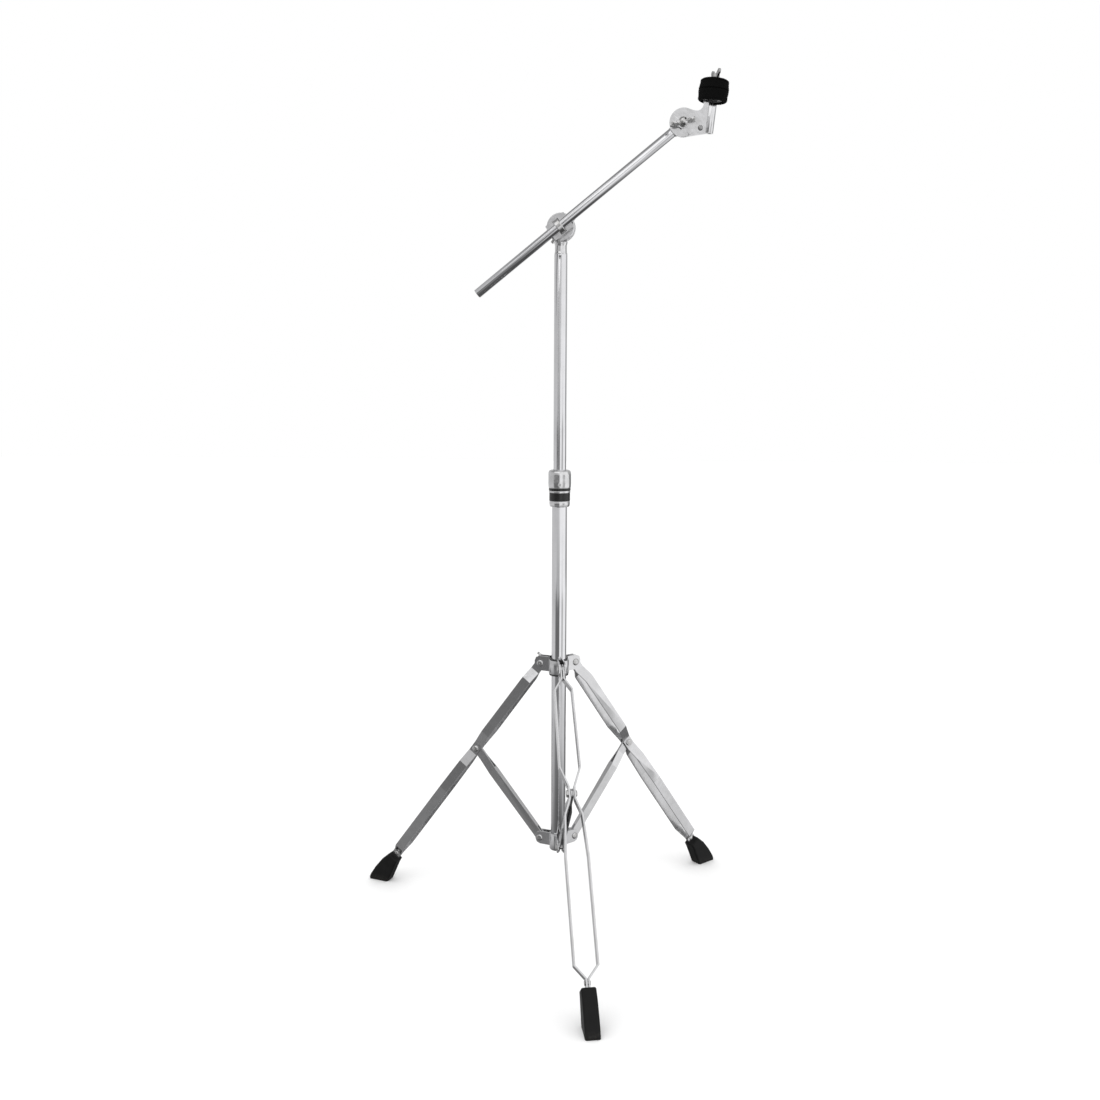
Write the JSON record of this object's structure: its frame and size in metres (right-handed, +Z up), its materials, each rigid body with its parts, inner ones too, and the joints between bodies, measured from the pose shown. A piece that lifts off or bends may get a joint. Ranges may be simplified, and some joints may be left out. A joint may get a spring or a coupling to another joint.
{
  "type": "cymbal boom stand",
  "caption": "Folding double-braced tripod stand with a two-section column and a tilting, sliding boom that ends in a swivelling cymbal seat with felts and a wing nut.",
  "frame": {"origin": "the middle of the footprint box at floor level; the column's axis stands at x 0.0239, y 0.0464", "axes": "+Z up along the column; the boom lies near the XZ plane with its cymbal end towards +X; the front leg points near -Y"},
  "size_m": [0.4952, 0.4732, 1.0564],
  "materials": {
    "tube_chrome": "polished chrome plate",
    "strip_chrome": "chrome-plated pressed steel",
    "cast_chrome": "chrome-plated die casting",
    "fastener_steel": "plated fastener steel",
    "thread_steel": "threaded zinc-plated steel",
    "collar_black": "satin black band",
    "nylon_black": "moulded nylon",
    "foot_rubber": "moulded rubber",
    "felt_black": "pressed wool felt"
  },
  "bodies": {
    "column": {"lower_tube": "tube_chrome", "tube_plug": "nylon_black", "height_collar": "cast_chrome", "collar_band_upper": "collar_black", "collar_band_lower": "collar_black", "height_bushing": "nylon_black", "brace_collar_plate_front": "strip_chrome", "brace_collar_plate_right": "strip_chrome", "brace_collar_plate_left": "strip_chrome", "brace_rivets": "fastener_steel"},
    "leg_collar": {"leg_collar_plate_front": "strip_chrome", "leg_collar_plate_right": "strip_chrome", "leg_collar_plate_left": "strip_chrome", "leg_collar_bushing": "nylon_black", "leg_rivets": "fastener_steel"},
    "leg_screw": {"leg_collar_screw": "fastener_steel"},
    "height_bolt": {"height_wing_bolt": "fastener_steel"},
    "glide": {"middle_glide": "nylon_black"},
    "mast": {"middle_tube": "tube_chrome", "tilter_rear": "cast_chrome"},
    "boom_holder": {"tilter_front": "cast_chrome", "tilter_eyebolt": "fastener_steel", "tilter_washer": "fastener_steel"},
    "tilter_nut": {"tilter_wing_nut": "fastener_steel"},
    "boom": {"boom_tube": "tube_chrome", "boom_tip": "cast_chrome"},
    "arm": {"cymbal_arm": "cast_chrome", "arm_set_screw": "fastener_steel", "cymbal_rod": "thread_steel", "cup_washer": "nylon_black", "cymbal_sleeve": "nylon_black", "lower_felt": "felt_black"},
    "tip_screw": {"tip_wing_screw": "fastener_steel"},
    "felt_top": {"upper_felt": "felt_black"},
    "top_nut": {"top_wing_nut": "fastener_steel"},
    "leg_front": {"leg_strip_front_a": "strip_chrome", "leg_strip_front_b": "strip_chrome", "leg_bolt_front": "fastener_steel", "foot_rivet_front": "fastener_steel", "rubber_foot_front": "foot_rubber"},
    "brace_front": {"brace_front": "strip_chrome"},
    "leg_right": {"leg_strip_right_a": "strip_chrome", "leg_strip_right_b": "strip_chrome", "leg_bolt_right": "fastener_steel", "foot_rivet_right": "fastener_steel", "rubber_foot_right": "foot_rubber"},
    "brace_right": {"brace_right": "strip_chrome"},
    "leg_left": {"leg_strip_left_a": "strip_chrome", "leg_strip_left_b": "strip_chrome", "leg_bolt_left": "fastener_steel", "foot_rivet_left": "fastener_steel", "rubber_foot_left": "foot_rubber"},
    "brace_left": {"brace_left": "strip_chrome"}
  },
  "joints": [
    {"name": "leg_collar_slide", "type": "slide", "parent": "column", "child": "leg_collar", "axis": [0, 0, 1], "range_m": [0, 0.06471]},
    {"name": "leg_hinge_front", "type": "hinge", "parent": "leg_collar", "child": "leg_front", "pos_m": [0.02818, 0.02238, 0.3432], "axis": [0.9845, 0.1754, 0], "range_deg": [-0.01, 33.21]},
    {"name": "brace_hinge_front", "type": "hinge", "parent": "column", "child": "brace_front", "pos_m": [0.02818, 0.02238, 0.1052], "axis": [0.9845, 0.1754, 0], "range_deg": [-37.16, 0.01]},
    {"name": "leg_hinge_right", "type": "hinge", "parent": "leg_collar", "child": "leg_right", "pos_m": [0.04256, 0.06212, 0.3432], "axis": [-0.6441, 0.7649, 0], "range_deg": [-0.01, 33.21]},
    {"name": "brace_hinge_right", "type": "hinge", "parent": "column", "child": "brace_right", "pos_m": [0.04256, 0.06212, 0.1052], "axis": [-0.6441, 0.7649, 0], "range_deg": [-37.16, 0.01]},
    {"name": "leg_hinge_left", "type": "hinge", "parent": "leg_collar", "child": "leg_left", "pos_m": [0.00096, 0.0547, 0.3432], "axis": [-0.3404, -0.9403, 0], "range_deg": [-0.01, 33.21]},
    {"name": "brace_hinge_left", "type": "hinge", "parent": "column", "child": "brace_left", "pos_m": [0.00096, 0.0547, 0.1052], "axis": [-0.3404, -0.9403, 0], "range_deg": [-37.16, 0.01]},
    {"name": "leg_screw_turn", "type": "hinge", "parent": "leg_collar", "child": "leg_screw", "pos_m": [0.01065, 0.06935, 0.3412], "axis": [-0.5, 0.866, 0], "range_deg": [0, 450]},
    {"name": "height_bolt_turn", "type": "hinge", "parent": "column", "child": "height_bolt", "pos_m": [0.0239, 0.0664, 0.5828], "axis": [0, 1, 0], "range_deg": [0, 450]},
    {"name": "height_slide", "type": "slide", "parent": "column", "child": "glide", "axis": [0, 0, 1], "range_m": [-0.18, 0.09]},
    {"name": "mast_swivel", "type": "hinge", "parent": "glide", "child": "mast", "pos_m": [0.0239, 0.0464, 0.43], "axis": [0, 0, 1], "continuous": true},
    {"name": "boom_tilt", "type": "hinge", "parent": "mast", "child": "boom_holder", "pos_m": [0.0239, 0.0464, 0.886], "axis": [-0.1045, -0.9945, 0], "range_deg": [-60, 27]},
    {"name": "tilter_nut_turn", "type": "hinge", "parent": "boom_holder", "child": "tilter_nut", "pos_m": [0.02547, 0.06132, 0.886], "axis": [0.1045, 0.9945, 0], "range_deg": [0, 450]},
    {"name": "boom_slide", "type": "slide", "parent": "boom_holder", "child": "boom", "axis": [0.7837, -0.0824, 0.6157], "range_m": [-0.11, 0.095]},
    {"name": "cymbal_tilt", "type": "hinge", "parent": "boom", "child": "arm", "pos_m": [0.16615, 0.01647, 0.99897], "axis": [-0.1045, -0.9945, 0], "range_deg": [-52, 60]},
    {"name": "tip_screw_turn", "type": "hinge", "parent": "arm", "child": "tip_screw", "pos_m": [0.16615, 0.01647, 0.99897], "axis": [-0.1045, -0.9945, 0], "range_deg": [0, 450]},
    {"name": "felt_lift", "type": "slide", "parent": "arm", "child": "felt_top", "axis": [0.104, -0.0109, 0.9945], "range_m": [0, 0.03]},
    {"name": "top_nut_turn", "type": "hinge", "parent": "felt_top", "child": "top_nut", "pos_m": [0.20088, 0.01131, 1.04744], "axis": [0.104, -0.0109, 0.9945], "range_deg": [0, 450]}
  ],
  "couplings": [
    {"joint": "leg_hinge_front", "follows": "leg_collar_slide", "rad_per_m": 8.9546},
    {"joint": "brace_hinge_front", "follows": "leg_collar_slide", "rad_per_m": -10.021},
    {"joint": "leg_hinge_right", "follows": "leg_collar_slide", "rad_per_m": 8.9546},
    {"joint": "brace_hinge_right", "follows": "leg_collar_slide", "rad_per_m": -10.021},
    {"joint": "leg_hinge_left", "follows": "leg_collar_slide", "rad_per_m": 8.9546},
    {"joint": "brace_hinge_left", "follows": "leg_collar_slide", "rad_per_m": -10.021}
  ]
}
